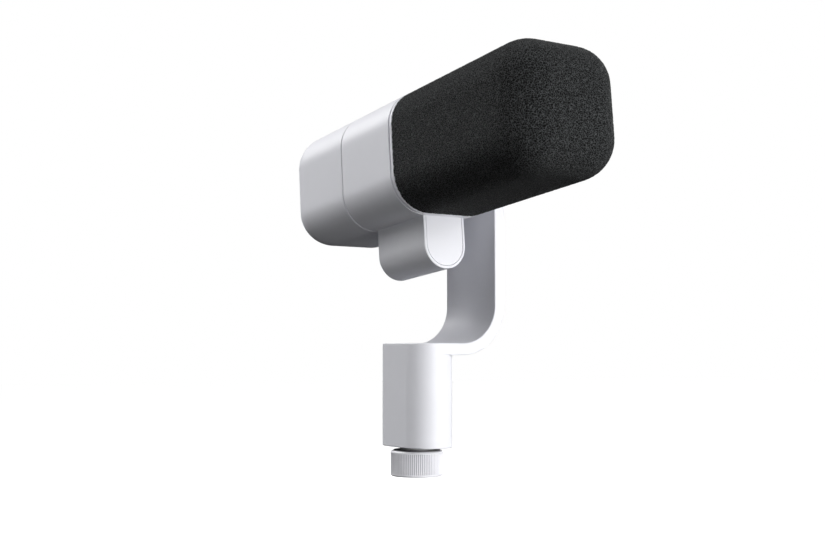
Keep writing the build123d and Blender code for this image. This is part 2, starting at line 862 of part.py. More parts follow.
with BuildPart() as windscreen_ring:
    with BuildSketch(station(-base_ring_length)):
        RectangleRounded(head_width, head_height, head_corner)
    extrude(amount=base_ring_length)
    fillet(end_edges(windscreen_ring, -base_ring_length) + end_edges(windscreen_ring, 0), base_ring_edge)
    with BuildSketch(station(-base_ring_length)):
        RectangleRounded(head_width - 2 * foam_wall, head_height - 2 * foam_wall, cavity_corner)
    extrude(amount=base_ring_length, mode=Mode.SUBTRACT)
    with BuildSketch(station(-base_ring_length)):
        with Locations(*magnet_places):
            Circle(magnet_diameter / 2)
    extrude(amount=magnet_length, mode=Mode.SUBTRACT)

windscreen_magnets = discs(station(-base_ring_length), magnet_places, magnet_diameter, magnet_length)

# === Electronics ===========================================================================

tray_rear = ledge_rear - tray_length
standoff_x = tray_width / 2 - standoff_diameter / 2
standoff_stations = [board_front - standoff_margin, board_rear + standoff_margin]
standoff_places = [(x, -distance) for x in (-standoff_x, standoff_x) for distance in standoff_stations]

with BuildPart() as board_tray:
    with BuildSketch(station(tray_rear)):
        with Locations((0, tray_top - tray_thickness / 2)):
            Rectangle(tray_width, tray_thickness)
    extrude(amount=tray_length)
    with BuildSketch(station(ledge_rear)):
        with Locations((0, tray_top - (tray_thickness + tray_tab_height) / 2)):
            Rectangle(tray_width, tray_thickness + tray_tab_height)
    extrude(amount=-tray_thickness)
    with BuildSketch(station(ledge_rear)):
        with Locations(*tray_screw_places):
            Circle(deck_screw_diameter / 2)
    extrude(amount=-tray_thickness, mode=Mode.SUBTRACT)
    with BuildSketch(level(tray_top, wire_station)):
        RectangleRounded(wire_slot_width, wire_slot_length - 2 * tray_thickness, tray_slot_corner)
    extrude(amount=-tray_thickness, mode=Mode.SUBTRACT)

# Their heads are behind the tab, and their shanks end in the ledge.
tray_screws = screws(
    Plane(origin=head_point(0, 0, ledge_rear - tray_thickness), x_dir=(-1, 0, 0), z_dir=-nose),
    tray_screw_places,
    deck_screw_head,
    deck_screw_head_height,
    deck_screw_diameter,
    tray_thickness + ledge_thickness,
)

with BuildPart() as standoffs:
    with BuildSketch(level(tray_top, 0)):
        with Locations(*standoff_places):
            Circle(standoff_diameter / 2)
            Circle(board_screw_diameter / 2, mode=Mode.SUBTRACT)
    extrude(amount=standoff_height)

with BuildPart() as preamp_board:
    with BuildSketch(station(board_rear)):
        with Locations((0, board_bottom + board_thickness / 2)):
            Rectangle(board_width, board_thickness)
    extrude(amount=board_length)
    with BuildSketch(level(board_top, 0)):
        with Locations(*standoff_places):
            Circle(board_screw_diameter / 2)
    extrude(amount=-board_thickness, mode=Mode.SUBTRACT)

# The smoothing capacitors stand on the left of the board, the chips and the choke on its right.
with BuildPart() as board_components:
    with BuildSketch(level(board_top, 0)):
        with Locations(*[(-component_x, -(board_front - distance)) for distance in capacitor_setbacks]):
            Circle(capacitor_diameter / 2)
    extrude(amount=capacitor_height)
    with BuildSketch(level(board_top, 0)):
        with Locations((component_x, -(board_front - choke_setback))):
            RectangleRounded(choke_size, choke_size, choke_size / 12)
    extrude(amount=choke_size)
    with BuildSketch(level(board_top, 0)):
        with Locations(*[(component_x, -(board_front - distance)) for distance in chip_setbacks]):
            Rectangle(chip_width, chip_length)
    extrude(amount=chip_height)

board_screws = screws(
    level(board_top, 0),
    standoff_places,
    board_screw_head,
    board_screw_head_height,
    board_screw_diameter,
    board_thickness + standoff_height,
)

with BuildPart() as signal_wires:
    wire_start = housing_rear + pin_setback + pin_length
    for place in pin_places:
        with BuildLine() as route:
            FilletPolyline(
                head_point(place[0], place[1], wire_start),
                head_point(place[0], place[1], wire_station),
                head_point(place[0], board_bottom, wire_station),
                radius=wire_bend,
            )
        with BuildSketch(station(wire_start).shift_origin(head_point(place[0], place[1], wire_start))):
            Circle(wire_diameter / 2)
        sweep(path=route.line)

# === Files =================================================================================

pieces = {
    "coupling_ring": coupling_ring,
    "thread_insert": thread_insert,
    "swivel_bush": swivel_bush,
    "thrust_washer": thrust_washer,
    "top_washer": top_washer,
    "yoke_arm": yoke_arm,
    "pivot_cap": pivot_cap,
    "friction_disc": friction_disc,
    "bearing_washer": bearing_washer,
    "spring_washer": spring_washer,
    "pivot_bolt": pivot_bolt,
    "pivot_nut": pivot_nut,
    "front_sleeve": front_sleeve,
    "rear_cover": rear_cover,
    "seam_gasket": seam_gasket,
    "tie_screws": tie_screws,
    "connector_housing": connector_housing,
    "connector_cap": connector_cap,
    "connector_shell": connector_shell,
    "connector_insert": connector_insert,
    "connector_pins": connector_pins,
    "housing_screws": housing_screws,
    "deck": deck,
    "deck_screws": deck_screws,
    "deck_magnets": deck_magnets,
    "switch_contacts": switch_contacts,
    "low_cut_slider": low_cut_slider,
    "presence_slider": presence_slider,
    "grille_basket": grille_basket,
    "pop_foam": pop_foam,
    "capsule_carrier": capsule_carrier,
    "rear_shock_mount": rear_shock_mount,
    "front_shock_mount": front_shock_mount,
    "capsule": capsule,
    "capsule_cap": capsule_cap,
    "windscreen_foam": windscreen_foam,
    "windscreen_ring": windscreen_ring,
    "windscreen_magnets": windscreen_magnets,
    "board_tray": board_tray,
    "tray_screws": tray_screws,
    "standoffs": standoffs,
    "preamp_board": preamp_board,
    "board_components": board_components,
    "board_screws": board_screws,
    "signal_wires": signal_wires,
}

os.makedirs("parts", exist_ok=True)
for name, piece in pieces.items():
    piece.part.label = name
    export_step(piece.part, f"parts/{name}.step")
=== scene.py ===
"""Finishes for a side-held broadcast microphone, laid out as an add-on.

Each operator makes or finishes one piece, or one group of like pieces, around the loaded frame.
Pieces in the head are drawn in head space, where X is to the right, Y is up through the head and Z
runs forwards along its axis from the windscreen's base, and are then set in place by HEAD.
"""

import json
import math

import bmesh
import bpy
from bpy.props import FloatProperty, FloatVectorProperty, IntProperty, PointerProperty
from mathutils import Matrix, Vector


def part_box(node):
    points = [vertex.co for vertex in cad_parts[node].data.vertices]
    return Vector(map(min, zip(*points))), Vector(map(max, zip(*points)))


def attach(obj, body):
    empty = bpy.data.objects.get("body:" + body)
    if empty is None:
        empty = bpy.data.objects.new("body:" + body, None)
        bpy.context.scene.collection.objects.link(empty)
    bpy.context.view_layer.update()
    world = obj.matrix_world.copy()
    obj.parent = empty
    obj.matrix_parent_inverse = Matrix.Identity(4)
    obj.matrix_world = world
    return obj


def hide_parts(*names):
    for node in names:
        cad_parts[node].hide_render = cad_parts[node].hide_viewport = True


bl_info = {
    "name": "Broadcast Microphone",
    "version": (1, 0, 0),
    "blender": (4, 5, 0),
    "location": "View3D > Sidebar > Microphone",
    "description": "Makes and finishes the pieces of a side-held broadcast microphone",
    "category": "Object",
}

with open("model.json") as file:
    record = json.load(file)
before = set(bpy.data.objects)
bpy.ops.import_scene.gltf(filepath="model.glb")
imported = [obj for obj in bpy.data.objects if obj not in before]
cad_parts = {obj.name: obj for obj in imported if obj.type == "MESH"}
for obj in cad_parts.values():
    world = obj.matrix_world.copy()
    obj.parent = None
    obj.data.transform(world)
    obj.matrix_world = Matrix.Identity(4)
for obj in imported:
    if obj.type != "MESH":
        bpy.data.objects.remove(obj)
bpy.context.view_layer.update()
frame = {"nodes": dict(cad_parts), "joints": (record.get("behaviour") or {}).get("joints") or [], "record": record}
NODES = frame["nodes"]
JOINTS = {joint["name"]: joint for joint in frame["joints"]}
STAND = next(mount["dims"] for mount in frame["record"]["mounts"] if mount["name"] == "stand_thread")
MM = 0.001


def extent(node, axis):
    """The lowest and the highest reach of a CAD node along an axis."""
    reaches = [vertex.co.dot(axis) for vertex in NODES[node].data.vertices]
    return min(reaches), max(reaches)


NOSE = Vector(JOINTS["windscreen_slide"]["axis"]).normalized()
RIGHT = Vector((1, 0, 0))
UP = NOSE.cross(RIGHT)


def radius_above(node, height):
    """The largest radius about Z that a CAD node has above a height."""
    points = [vertex.co for vertex in NODES[node].data.vertices]
    return max(math.hypot(point.x, point.y) for point in points if point.z > height)


def head_space():
    """The matrix from head space to the part's frame, its origin on the foam's back face."""
    low, high = extent("windscreen_foam", UP)
    origin = NOSE * extent("windscreen_foam", NOSE)[0] + UP * (low + high) / 2
    return Matrix.Translation(origin) @ Matrix((RIGHT, UP, NOSE)).transposed().to_4x4()


HEAD = head_space()
FOAM_BACK = extent("windscreen_foam", NOSE)[0]


def head_size(node):
    """A head piece's width, height, and its back and front stations in head space."""
    left, right = extent(node, RIGHT)
    low, high = extent(node, UP)
    back, front = extent(node, NOSE)
    return right - left, high - low, back - FOAM_BACK, front - FOAM_BACK


# --- Building blocks -----------------------------------------------------------------------


def add_node(tree, kind, inputs=None, **settings):
    """A node of a kind, its settings set and its inputs linked or given their values."""
    made = tree.nodes.new(kind)
    for name, value in settings.items():
        setattr(made, name, value)
    for name, value in (inputs or {}).items():
        if isinstance(value, bpy.types.NodeSocket):
            tree.links.new(value, made.inputs[name])
        else:
            made.inputs[name].default_value = value
    return made


def sum_of(tree, operation, first, second=None, third=None):
    """The result of one Math node."""
    inputs = {index: value for index, value in enumerate((first, second, third)) if value is not None}
    return add_node(tree, "ShaderNodeMath", inputs, operation=operation).outputs[0]


def vector_of(tree, operation, first, second=None):
    """The result of one Vector Math node. The second value of a SCALE node is its scale."""
    inputs = {0: first}
    if second is not None:
        inputs["Scale" if operation == "SCALE" else 1] = second
    output = "Value" if operation == "LENGTH" else "Vector"
    return add_node(tree, "ShaderNodeVectorMath", inputs, operation=operation).outputs[output]


def remap(tree, value, low, high, new_low=0.0, new_high=1.0):
    """A value carried from one range to another, and clamped there."""
    inputs = {
        "Value": value, "From Min": low, "From Max": high, "To Min": new_low, "To Max": new_high,
    }
    return add_node(tree, "ShaderNodeMapRange", inputs).outputs["Result"]


def noise_of(tree, where, scale, detail):
    """The result of one Noise Texture node."""
    inputs = {"Vector": where, "Scale": scale, "Detail": detail}
    return add_node(tree, "ShaderNodeTexNoise", inputs).outputs["Fac"]


def mix_colour(tree, factor, first, second):
    """Two colours mixed by a factor."""
    made = add_node(tree, "ShaderNodeMix", data_type="RGBA")
    for index, value in ((0, factor), (6, first), (7, second)):
        if isinstance(value, bpy.types.NodeSocket):
            tree.links.new(value, made.inputs[index])
        else:
            made.inputs[index].default_value = value
    return made.outputs[2]


def new_group(name, kind, inputs, outputs):
    """An empty node group with its sockets, and its two end nodes."""
    tree = bpy.data.node_groups.new(name, kind)
    for label, socket, default in inputs:
        made = tree.interface.new_socket(label, in_out="INPUT", socket_type=socket)
        if default is not None:
            made.default_value = default
    for label, socket in outputs:
        tree.interface.new_socket(label, in_out="OUTPUT", socket_type=socket)
    return tree, tree.nodes.new("NodeGroupInput"), tree.nodes.new("NodeGroupOutput")


def end_with(tree, geometry, material, end):
    """Ends a Geometry Nodes tree: the geometry made real, and given its material."""
    real = add_node(tree, "GeometryNodeRealizeInstances", {"Geometry": geometry}).outputs[0]
    inputs = {"Geometry": real, "Material": material}
    coated = add_node(tree, "GeometryNodeSetMaterial", inputs).outputs[0]
    tree.links.new(coated, end.inputs["Geometry"])


def set_inputs(modifier, values):
    """Gives a Geometry Nodes modifier its values by the names of its sockets."""
    for item in modifier.node_group.interface.items_tree:
        if item.item_type == "SOCKET" and item.in_out == "INPUT" and item.name in values:
            modifier[item.identifier] = values[item.name]


def frozen(source, name):
    """The source as its modifiers leave it, in a plain mesh object of its own."""
    bpy.context.view_layer.update()
    depsgraph = bpy.context.evaluated_depsgraph_get()
    mesh = bpy.data.meshes.new_from_object(source.evaluated_get(depsgraph))
    bpy.data.objects.remove(source)
    piece = bpy.data.objects.new(name, mesh)
    bpy.context.scene.collection.objects.link(piece)
    return piece


def mesh_object(name, points, faces):
    """A new mesh object, its doubles merged and its faces turned outwards."""
    mesh = bpy.data.meshes.new(name)
    mesh.from_pydata([tuple(point) for point in points], [], faces)
    shape = bmesh.new()
    shape.from_mesh(mesh)
    bmesh.ops.remove_doubles(shape, verts=shape.verts, dist=1e-7)
    bmesh.ops.recalc_face_normals(shape, faces=shape.faces)
    shape.to_mesh(mesh)
    shape.free()
    piece = bpy.data.objects.new(name, mesh)
    bpy.context.scene.collection.objects.link(piece)
    return piece


def smooth(piece, angle=35.0):
    """Smooth shading, with edges sharper than an angle kept."""
    piece.data.shade_smooth()
    piece.data.set_sharp_from_angle(angle=math.radians(angle))


def finish_piece(piece, material, body, slot, *replaced):
    """Gives a finished piece its material and body, and hides the nodes it stands for; its slot is not used."""
    piece.data.materials.clear()
    piece.data.materials.append(material)
    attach(piece, body)
    if replaced:
        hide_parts(*replaced)


def outline(width, height, corner, steps):
    """A rounded rectangle's points, anticlockwise from the middle of its right side."""
    corner = max(corner, 1e-5)
    centres = [(1, 1), (-1, 1), (-1, -1), (1, -1)]
    points = []
    for turn, (x, y) in enumerate(centres):
        for step in range(steps + 1):
            angle = math.radians(90 * (turn + step / steps))
            centre = (x * (width / 2 - corner), y * (height / 2 - corner))
            points.append((centre[0] + corner * math.cos(angle), centre[1] + corner * math.sin(angle)))
    return points


def closed_faces(columns, rows):
    """The faces of a grid of points that closes on itself along its columns and its rows."""
    faces = []
    for column in range(columns):
        here, there = column * rows, (column + 1) % columns * rows
        for row in range(rows):
            nxt = (row + 1) % rows
            faces.append((here + row, there + row, there + nxt, here + nxt))
    return faces


def lathe(profile, segments):
    """The points and faces of a closed profile of (radius, height) turned about Z."""
    points = []
    for segment in range(segments):
        angle = math.tau * segment / segments
        points += [(r * math.cos(angle), r * math.sin(angle), z) for r, z in profile]
    return points, closed_faces(segments, len(profile))


def bar_rings(width, height, corner, rounding, back, front, steps, rings):
    """The sections of a bar whose front end is rounded over, from its back to its flat front."""
    sections = [(0.0, back)]
    for ring in range(rings + 1):
        angle = math.radians(90 * ring / rings)
        inset = rounding * (1 - math.cos(angle))
        sections.append((inset, front - rounding + rounding * math.sin(angle)))
    made = []
    for inset, place in sections:
        ring = outline(width - 2 * inset, height - 2 * inset, corner - inset, steps)
        made.append([(x, y, place) for x, y in ring])
    return made


def cup(width, height, corner, rounding, back, front, wall, nose, inner_corner, steps=10, rings=10):
    """The points and faces of a closed-end cup: an outer bar, less an inner one open at its back."""
    outer = bar_rings(width, height, corner, rounding, back, front, steps, rings)
    inner = bar_rings(
        width - 2 * wall, height - 2 * wall, inner_corner, inner_corner, back, front - nose, steps, rings
    )
    loops = list(reversed(inner)) + outer
    points = [point for loop in loops for point in loop]
    count = len(loops[0])
    faces = []
    for row in range(len(loops) - 1):
        for step in range(count):
            nxt = (step + 1) % count
            low, high = row * count, (row + 1) * count
            faces.append((low + step, low + nxt, high + nxt, high + step))
    faces.append(tuple(range(count)))
    faces.append(tuple(range((len(loops) - 1) * count, len(loops) * count)))
    return points, faces


# --- Settings ------------------------------------------------------------------------------


class FoamSettings(bpy.types.PropertyGroup):
    """Sizes and colours of the foam windscreen."""

    grid: FloatProperty(
        name="Mesh size", description="Edge of the foam's mesh", default=0.00060, unit="LENGTH"
    )
    cell: FloatProperty(
        name="Cell size", description="Width of a foam cell", default=0.0009, unit="LENGTH"
    )
    depth: FloatProperty(
        name="Cell depth", description="Depth of the open cells", default=0.00034, unit="LENGTH"
    )
    wall: FloatProperty(
        name="Wall", description="Thickness of the foam's wall", default=0.0075, unit="LENGTH"
    )
    nose: FloatProperty(
        name="Nose", description="Thickness of the foam's front", default=0.0115, unit="LENGTH"
    )
    corner: FloatProperty(
        name="Corner", description="Radius of the foam's corners", default=0.0178, unit="LENGTH"
    )
    rounding: FloatProperty(
        name="Rounding", description="Radius of its front edge", default=0.0177, unit="LENGTH"
    )
    cavity: FloatProperty(
        name="Cavity corner", description="Inner corner radius", default=0.0104, unit="LENGTH"
    )
    strand: FloatVectorProperty(
        name="Strand colour", description="Colour of the foam's strands", subtype="COLOR", size=3,
        default=(0.078, 0.083, 0.085), min=0, max=1,
    )
    # The pore colour is painted shade down in the open cells; the strands keep the foam's own charcoal.
    pore_shade: FloatVectorProperty(
        name="Pore colour", description="Colour down in the cells", subtype="COLOR", size=3,
        default=(0.002, 0.0022, 0.0024), min=0, max=1,
    )


class RingSettings(bpy.types.PropertyGroup):
    """Sizes of the knurled coupling ring and of the thread in it."""

    flutes: IntProperty(name="Flutes", description="Flutes round the ring", default=84, min=3)
    depth: FloatProperty(
        name="Flute depth", description="Depth of a flute", default=0.00055, unit="LENGTH"
    )
    edge: FloatProperty(
        name="Edge", description="Radius of the ring's rims", default=0.0009, unit="LENGTH"
    )
    rim: FloatProperty(
        name="Plain rim", description="Plain band at each end", default=0.0003, unit="LENGTH"
    )
    pitch: FloatProperty(
        name="Pitch", description="Pitch of the stand thread", default=0.0254 / 27, unit="LENGTH"
    )
    thread_depth: FloatProperty(
        name="Thread depth", description="Depth of the thread", default=0.0005, unit="LENGTH"
    )


class GrilleSettings(bpy.types.PropertyGroup):
    """Sizes of the perforated basket."""

    pitch: FloatProperty(
        name="Pitch", description="Distance between holes", default=0.0032, unit="LENGTH"
    )
    hole: FloatProperty(
        name="Hole", description="A hole's share of its cell", default=0.72, min=0.1, max=0.9
    )
    wall: FloatProperty(
        name="Wall", description="Thickness of the sheet", default=0.0008, unit="LENGTH"
    )
    corner: FloatProperty(
        name="Corner", description="Radius of the corners", default=0.0099, unit="LENGTH"
    )
    band: FloatProperty(
        name="Band", description="Plain band at the back", default=0.0060, unit="LENGTH"
    )


class PaintSettings(bpy.types.PropertyGroup):
    """Colours of the painted and plain finishes."""

    white: FloatVectorProperty(
        name="White", description="The body's satin white", subtype="COLOR", size=3,
        default=(0.80, 0.805, 0.85), min=0, max=1,
    )
    roughness: FloatProperty(
        name="Roughness", description="Roughness of the white", default=0.42, min=0, max=1
    )


class StageSettings(bpy.types.PropertyGroup):
    """The camera's place and lens, the lights and the floor."""

    camera: FloatVectorProperty(
        name="Camera", description="Place of the camera", subtype="TRANSLATION", size=3,
        default=(-0.31238, -0.48482, 0.05819),
    )
    azimuth: FloatProperty(name="Azimuth", description="Turn of the camera from +Y", default=-32.58)
    elevation: FloatProperty(
        name="Elevation", description="Upward pitch of the camera", default=3.82
    )
    lens: FloatProperty(name="Lens", description="Focal length in millimetres", default=51.81)
    brightness: FloatProperty(
        name="Brightness", description="Strength of all the lights", default=1.0, min=0
    )
    floor_drop: FloatProperty(
        name="Floor", description="Floor below the thread", default=0.12, unit="LENGTH"
    )


class MicrophoneSettings(bpy.types.PropertyGroup):
    """All the settings of the microphone."""

    foam: PointerProperty(type=FoamSettings)
    ring: PointerProperty(type=RingSettings)
    grille: PointerProperty(type=GrilleSettings)
    paint: PointerProperty(type=PaintSettings)
    stage: PointerProperty(type=StageSettings)


def settings():
    """The scene's settings for the microphone."""
    return bpy.context.scene.microphone


# --- Shader groups -------------------------------------------------------------------------


def grain_group():
    """A fine even grain: a mask from 0 to 1, and a normal from the same pattern."""
    found = bpy.data.node_groups.get("Fine grain")
    if found:
        return found
    tree, start, end = new_group(
        "Fine grain",
        "ShaderNodeTree",
        [("Scale", "NodeSocketFloat", 2500.0), ("Strength", "NodeSocketFloat", 0.05),
         ("Distance", "NodeSocketFloat", 0.00002)],
        [("Mask", "NodeSocketFloat"), ("Normal", "NodeSocketVector")],
    )
    where = add_node(tree, "ShaderNodeTexCoord").outputs["Object"]
    noise = noise_of(tree, where, start.outputs["Scale"], 2.0)
    bump = add_node(
        tree,
        "ShaderNodeBump",
        {"Height": noise, "Strength": start.outputs["Strength"], "Distance": start.outputs["Distance"]},
    )
    tree.links.new(noise, end.inputs["Mask"])
    tree.links.new(bump.outputs["Normal"], end.inputs["Normal"])
    return tree


def handling_group():
    """Slow patches, as light handling and dust leave them."""
    found = bpy.data.node_groups.get("Handling patches")
    if found:
        return found
    tree, start, end = new_group(
        "Handling patches",
        "ShaderNodeTree",
        [("Scale", "NodeSocketFloat", 60.0)],
        [("Mask", "NodeSocketFloat")],
    )
    where = add_node(tree, "ShaderNodeTexCoord").outputs["Object"]
    noise = add_node(
        tree,
        "ShaderNodeTexNoise",
        {"Vector": where, "Scale": start.outputs["Scale"], "Detail": 4.0, "Roughness": 0.6},
    ).outputs["Fac"]
    tree.links.new(remap(tree, noise, 0.35, 0.7), end.inputs["Mask"])
    return tree


def new_material(name):
    """A material with its Principled shader, and the shader."""
    material = bpy.data.materials.new(name)
    material.use_nodes = True
    return material, material.node_tree, material.node_tree.nodes["Principled BSDF"]


def surface(
    name, colour, roughness, metallic=0.0, grain=2500.0, bump=0.05, shade=0.06, spread=0.05, **sockets
):
    """A plain finish: a colour that drifts a little, over a fine grain."""
    material, tree, shader = new_material(name)
    patches = add_node(tree, "ShaderNodeGroup", {}, node_tree=handling_group())
    grains = add_node(tree, "ShaderNodeGroup", {}, node_tree=grain_group())
    grains.inputs["Scale"].default_value = grain
    grains.inputs["Strength"].default_value = bump
    darker = [channel * (1 - shade) for channel in colour] + [1]
    colours = mix_colour(tree, patches.outputs["Mask"], [*colour, 1], darker)
    tree.links.new(colours, shader.inputs["Base Color"])
    rough = remap(tree, patches.outputs["Mask"], 0, 1, roughness, min(1.0, roughness + spread))
    tree.links.new(rough, shader.inputs["Roughness"])
    tree.links.new(grains.outputs["Normal"], shader.inputs["Normal"])
    shader.inputs["Metallic"].default_value = metallic
    for label, value in sockets.items():
        shader.inputs[label.replace("_", " ").title()].default_value = value
    return material


def white_paint(name="satin_white_paint"):
    """Satin white paint on a casting, with a very fine skin."""
    found = bpy.data.materials.get(name)
    if found:
        return found
    paint = settings().paint
    return surface(
        name, tuple(paint.white), paint.roughness, grain=1800.0, bump=0.12, shade=0.015, spread=0.04
    )


def foam_material():
    """Charcoal open-cell foam: pale strands round cells darkened with painted shade."""
    foam = settings().foam
    material, tree, shader = new_material("windscreen_foam")
    where = add_node(tree, "ShaderNodeTexCoord").outputs["Object"]
    warp = add_node(tree, "ShaderNodeTexNoise", {"Vector": where, "Scale": 700.0, "Detail": 1.0})
    bent = vector_of(tree, "SCALE", warp.outputs["Color"], 0.0012)
    place = vector_of(tree, "ADD", where, bent)
    cells = add_node(
        tree, "ShaderNodeTexVoronoi", {"Vector": place, "Scale": 1 / foam.cell},
        feature="DISTANCE_TO_EDGE",
    ).outputs["Distance"]
    strands = remap(tree, cells, 0.01, 0.19, 1.0, 0.0)
    fine = noise_of(tree, where, 1900.0, 2.0)
    broken = sum_of(tree, "MULTIPLY", strands, remap(tree, fine, 0.35, 0.6, 0.1, 1.0))
    # Painted shade: between the strands the cells go near black.
    colours = mix_colour(tree, broken, [*foam.pore_shade, 1], [*foam.strand, 1])
    tree.links.new(colours, shader.inputs["Base Color"])
    bump = add_node(tree, "ShaderNodeBump", {"Height": broken, "Strength": 0.8, "Distance": 0.0003})
    tree.links.new(bump.outputs["Normal"], shader.inputs["Normal"])
    shader.inputs["Roughness"].default_value = 0.95
    shader.inputs["Specular IOR Level"].default_value = 0.1
    shader.inputs["Sheen Weight"].default_value = 0.04
    shader.inputs["Sheen Roughness"].default_value = 0.6
    return material


# --- The foam windscreen -------------------------------------------------------------------


def open_cell_group():
    """Sinks a surface inwards in small cells, deepest in each cell's middle."""
    tree, start, end = new_group(
        "Open cells",
        "GeometryNodeTree",
        [("Geometry", "NodeSocketGeometry", None), ("Cell Size", "NodeSocketFloat", 0.0011),
         ("Depth", "NodeSocketFloat", 0.0002), ("Material", "NodeSocketMaterial", None)],
        [("Geometry", "NodeSocketGeometry")],
    )
    tree.is_modifier = True
    where = add_node(tree, "GeometryNodeInputPosition").outputs[0]
    scale = sum_of(tree, "DIVIDE", 1.0, start.outputs["Cell Size"])
    cells = add_node(tree, "ShaderNodeTexVoronoi", {"Vector": where, "Scale": scale}).outputs["Distance"]
    noise = noise_of(tree, where, sum_of(tree, "MULTIPLY", scale, 0.8), 3.0)
    sunk = remap(tree, sum_of(tree, "ADD", sum_of(tree, "SUBTRACT", 1.0, cells), noise), 0.8, 1.6)
    reach = sum_of(tree, "MULTIPLY", sum_of(tree, "MULTIPLY", sunk, start.outputs["Depth"]), -1.0)
    normal = add_node(tree, "GeometryNodeInputNormal").outputs[0]
    offset = vector_of(tree, "SCALE", normal, reach)
    moved = add_node(
        tree, "GeometryNodeSetPosition", {"Geometry": start.outputs["Geometry"], "Offset": offset}
    ).outputs[0]
    end_with(tree, moved, start.outputs["Material"], end)
    return tree


class MICROPHONE_OT_foam(bpy.types.Operator):
    """Make the foam windscreen: a rounded cup of open-cell foam"""

    bl_idname = "microphone.foam"
    bl_label = "Foam windscreen"

    def execute(self, context):
        foam = settings().foam
        width, height, back, front = head_size("windscreen_foam")
        points, faces = cup(
            width, height, foam.corner, foam.rounding, back, front, foam.wall, foam.nose, foam.cavity
        )
        block = mesh_object("foam_block", points, faces)
        remesh = block.modifiers.new("Remesh", "REMESH")
        remesh.mode = "VOXEL"
        remesh.voxel_size = foam.grid
        cells = block.modifiers.new("Open cells", "NODES")
        cells.node_group = open_cell_group()
        material = foam_material()
        set_inputs(cells, {"Cell Size": foam.cell, "Depth": foam.depth, "Material": material})
        piece = frozen(block, "foam_windscreen")
        piece.data.transform(HEAD)
        piece.data.shade_smooth()
        finish_piece(piece, material, "windscreen", "foam_black", "windscreen_foam")
        return {"FINISHED"}


# --- The coupling ring and its thread ------------------------------------------------------


NECK_GAP = 0.05 * MM  # between the ring's lip and the bush's neck
FLANGE_GAP = 0.15 * MM  # round the bush's flange
LIP_THICKNESS = 1.4 * MM
FLUTE_RUNOUT = 0.2 * MM  # each side of a flute's end
FLUTED_SKIN = 0.02 * MM  # only what is this close to the ring's outside is fluted
# Colour of the painted shade down in the flutes.
FLUTE_PAINTED_SHADE = (0.46, 0.46, 0.49, 1)
POINTS_PER_FLUTE = 8


def flute_group():
    """Cuts straight flutes round a turned band, leaving a plain rim at each end."""
    tree, start, end = new_group(
        "Straight knurl",
        "GeometryNodeTree",
        [("Geometry", "NodeSocketGeometry", None), ("Flutes", "NodeSocketInt", 84),
         ("Depth", "NodeSocketFloat", 0.0003), ("Radius", "NodeSocketFloat", 0.0127),
         ("Bottom", "NodeSocketFloat", 0.0), ("Top", "NodeSocketFloat", 0.012),
         ("Material", "NodeSocketMaterial", None)],
        [("Geometry", "NodeSocketGeometry")],
    )
    tree.is_modifier = True
    where = add_node(tree, "GeometryNodeInputPosition").outputs[0]
    parts = add_node(tree, "ShaderNodeSeparateXYZ", {"Vector": where})
    turn = sum_of(tree, "ARCTAN2", parts.outputs["Y"], parts.outputs["X"])
    wave = sum_of(tree, "COSINE", sum_of(tree, "MULTIPLY", turn, start.outputs["Flutes"]))
    groove = remap(tree, wave, -0.2, 0.9)
    flat = vector_of(tree, "MULTIPLY", where, (1, 1, 0))
    radius = vector_of(tree, "LENGTH", flat)
    skin = sum_of(tree, "SUBTRACT", start.outputs["Radius"], FLUTED_SKIN)
    outside = sum_of(tree, "GREATER_THAN", radius, skin)
    above = sum_of(tree, "GREATER_THAN", parts.outputs["Z"], start.outputs["Bottom"])
    below = sum_of(tree, "LESS_THAN", parts.outputs["Z"], start.outputs["Top"])
    band = sum_of(tree, "MULTIPLY", outside, sum_of(tree, "MULTIPLY", above, below))
    depth = sum_of(tree, "MULTIPLY", sum_of(tree, "MULTIPLY", groove, band), start.outputs["Depth"])
    inwards = vector_of(tree, "NORMALIZE", flat)
    offset = vector_of(tree, "SCALE", inwards, sum_of(tree, "MULTIPLY", depth, -1.0))
    moved = add_node(
        tree, "GeometryNodeSetPosition", {"Geometry": start.outputs["Geometry"], "Offset": offset}
    ).outputs[0]
    end_with(tree, moved, start.outputs["Material"], end)
    return tree


def ring_material(radius, depth, bottom, top):
    """The ring's paint, with painted shade darkening it down in the flutes."""
    material = surface("ring_paint", (0.84, 0.84, 0.88), 0.38, grain=1800.0, bump=0.08, shade=0.02)
    tree = material.node_tree
    base = tree.nodes["Principled BSDF"].inputs["Base Color"]
    paint = base.links[0].from_socket
    where = add_node(tree, "ShaderNodeTexCoord").outputs["Object"]
    height = add_node(tree, "ShaderNodeSeparateXYZ", {"Vector": where}).outputs["Z"]
    flat = vector_of(tree, "MULTIPLY", where, (1, 1, 0))
    reach = vector_of(tree, "LENGTH", flat)
    # Painted shade: the paint darkens towards the flutes' bottoms, only within the knurled band.
    sunk = remap(tree, reach, radius - depth, radius - 0.2 * depth, 1.0, 0.0)
    above = sum_of(tree, "GREATER_THAN", height, bottom)
    banded = sum_of(tree, "MULTIPLY", above, sum_of(tree, "LESS_THAN", height, top))
    colours = mix_colour(tree, sum_of(tree, "MULTIPLY", sunk, banded), paint, FLUTE_PAINTED_SHADE)
    tree.links.new(colours, base)
    return material


def rim_round(radius, edge, height, first):
    """The points inside a quarter round at a ring's rim, from a first angle in degrees."""
    turns = [math.radians(first + 15 * step) for step in range(1, 6)]
    return [(radius - edge + edge * math.cos(turn), height + edge * math.sin(turn)) for turn in turns]


